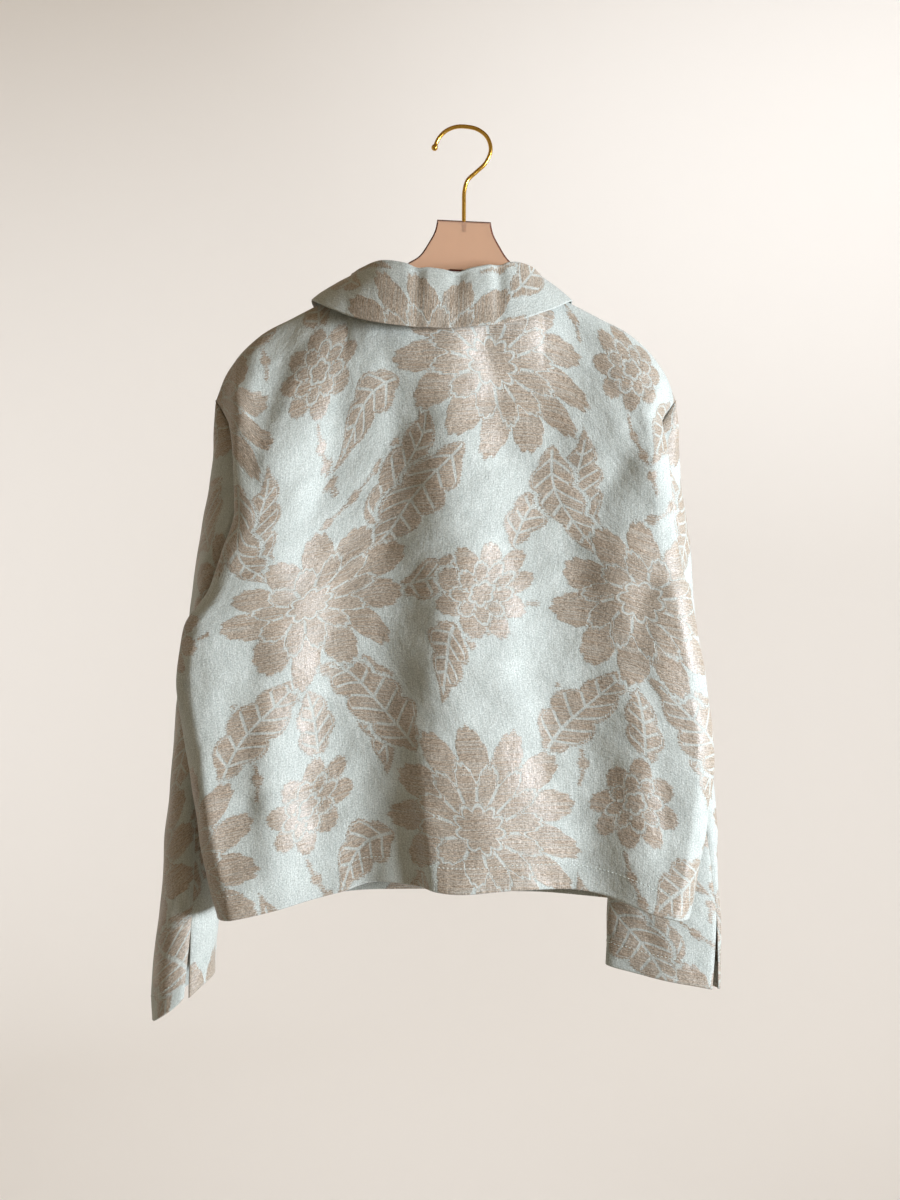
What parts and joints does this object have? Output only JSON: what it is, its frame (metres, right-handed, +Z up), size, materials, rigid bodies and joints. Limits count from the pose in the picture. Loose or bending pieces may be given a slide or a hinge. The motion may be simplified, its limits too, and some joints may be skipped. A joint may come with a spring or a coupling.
{
  "type": "cropped jacket on hanger",
  "caption": "Cropped boxy collared jacket in floral linen jacquard, buttoned and hanging on a flat translucent hanger with a wire hook.",
  "frame": {"origin": "inner top of the hook, where it rests on a peg or rail", "axes": "+Z up along the hanging jacket, the jacket's front faces -Y, the wearer's left is +X"},
  "size_m": [0.6167, 0.1833, 0.9449],
  "materials": {
    "linen_jacquard": "woven linen jacquard, soft slubby matt",
    "button_horn": "satin horn-like resin",
    "tinted_acrylic": "clear tinted acrylic, polished",
    "polished_brass": "polished"
  },
  "bodies": {
    "root": {"back": "linen_jacquard", "front_left": "linen_jacquard", "front_right": "linen_jacquard", "sleeve_left": "linen_jacquard", "sleeve_right": "linen_jacquard", "collar": "linen_jacquard", "button_1": "button_horn", "button_2": "button_horn", "button_3": "button_horn", "button_4": "button_horn", "button_5": "button_horn", "hanger_plate": "tinted_acrylic", "hanger_hook": "polished_brass"}
  },
  "joints": []
}
